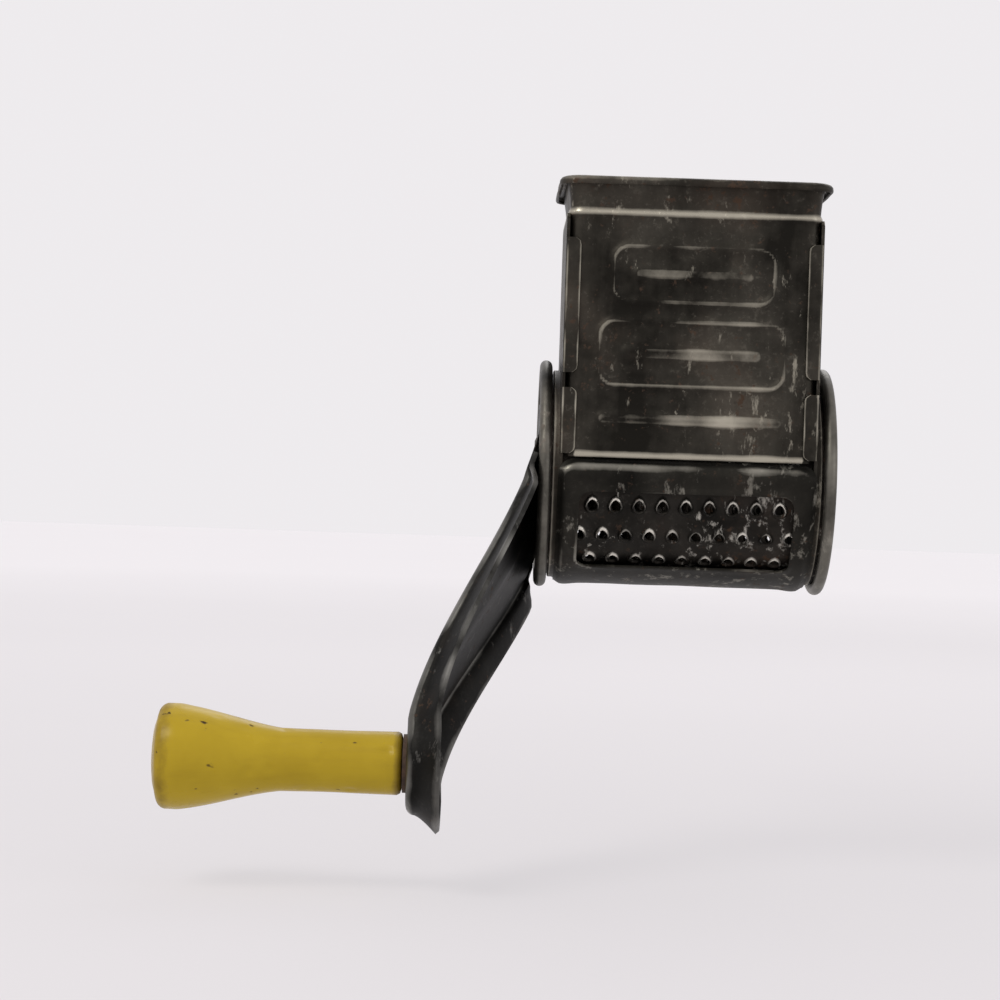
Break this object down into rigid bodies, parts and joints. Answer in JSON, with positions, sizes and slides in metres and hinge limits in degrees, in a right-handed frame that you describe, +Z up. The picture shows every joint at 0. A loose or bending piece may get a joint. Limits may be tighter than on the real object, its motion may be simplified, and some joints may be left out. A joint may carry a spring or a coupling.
{
  "type": "rotary cheese grater",
  "caption": "Hand-held rotary cheese grater with a flared tin hopper, a toothed drum in side collars, a stamped crank with a turned grip, a rear handle and a hinged presser.",
  "frame": {"origin": "centre of the drum's open end, on the drum's axis", "axes": "+X along the drum's axis and out of its open end, the crank is on the -X side; -Y is the front with the window; +Z is up to the hopper's mouth; the handles run to +Y"},
  "size_m": [0.1678, 0.2075, 0.1644],
  "materials": {
    "tinplate": "dull tarnished tin with rust specks and worn bright edges",
    "dark_tinplate": "dark tarnished tin, rubbed brighter on the beads",
    "drum_steel": "dark tin with bright worn teeth",
    "arm_steel": "dark satin steel, rubbed brighter on the edges",
    "rivet_steel": "dull worn steel",
    "yellow_lacquer": "glossy aged yellow lacquer with nicks and grime",
    "washer_fibre": "dark brown fibre"
  },
  "bodies": {
    "housing": {"hopper_shell": "tinplate", "crank_side_plate": "tinplate", "outlet_side_plate": "tinplate", "drum_guard": "dark_tinplate", "rear_cover": "dark_tinplate", "rear_handle": "tinplate", "handle_rivets": "rivet_steel", "hinge_pin": "rivet_steel"},
    "presser": {"presser_lever": "tinplate", "presser_plate": "tinplate", "presser_rivets": "rivet_steel"},
    "drum": {"drum_shell": "drum_steel", "drum_end_disc": "dark_tinplate", "drum_outlet_rim": "dark_tinplate", "drum_hub": "tinplate", "crank_rivet": "rivet_steel", "drive_rivets": "rivet_steel", "crank_arm": "arm_steel", "grip_pin": "rivet_steel", "grip_inner_washer": "washer_fibre", "grip_end_washer": "rivet_steel"},
    "grip": {"grip": "yellow_lacquer"}
  },
  "joints": [
    {"name": "crank_turn", "type": "hinge", "parent": "housing", "child": "drum", "pos_m": [-0.0381, 0, 0], "axis": [1, 0, 0], "continuous": true},
    {"name": "grip_spin", "type": "hinge", "parent": "drum", "child": "grip", "pos_m": [-0.138, -0.05664, -0.0725], "axis": [1, 0, 0], "continuous": true},
    {"name": "presser_lift", "type": "hinge", "parent": "housing", "child": "presser", "pos_m": [-0.0381, 0.118, 0.04], "axis": [-1, 0, 0], "range_deg": [0, 65]}
  ]
}
